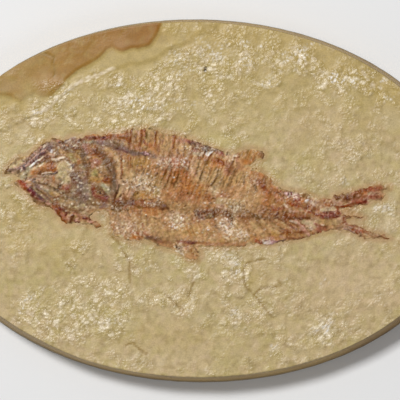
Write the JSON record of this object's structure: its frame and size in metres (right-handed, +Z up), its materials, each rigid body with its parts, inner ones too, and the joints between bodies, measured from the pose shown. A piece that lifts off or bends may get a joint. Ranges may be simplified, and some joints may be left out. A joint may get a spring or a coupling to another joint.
{
  "type": "fossil fish in an oval stone slab",
  "caption": "Oval slab of pale limestone with a flat sawn base and a lumpy face, in which a red-brown fossil fish lies in low relief.",
  "frame": {"origin": "centre of the slab's flat base, on the surface that it lies on", "axes": "+X along the slab's long axis towards the fish's tail, +Y towards the fish's back, +Z up out of the face that shows the fish"},
  "size_m": [0.152, 0.102, 0.0112],
  "materials": {
    "limestone": "lacquered over a finely pitted surface",
    "fossil_bone": "lacquered, finely ribbed"
  },
  "bodies": {
    "root": {"stone_slab": "limestone", "fossil_fish": "fossil_bone"}
  },
  "joints": []
}
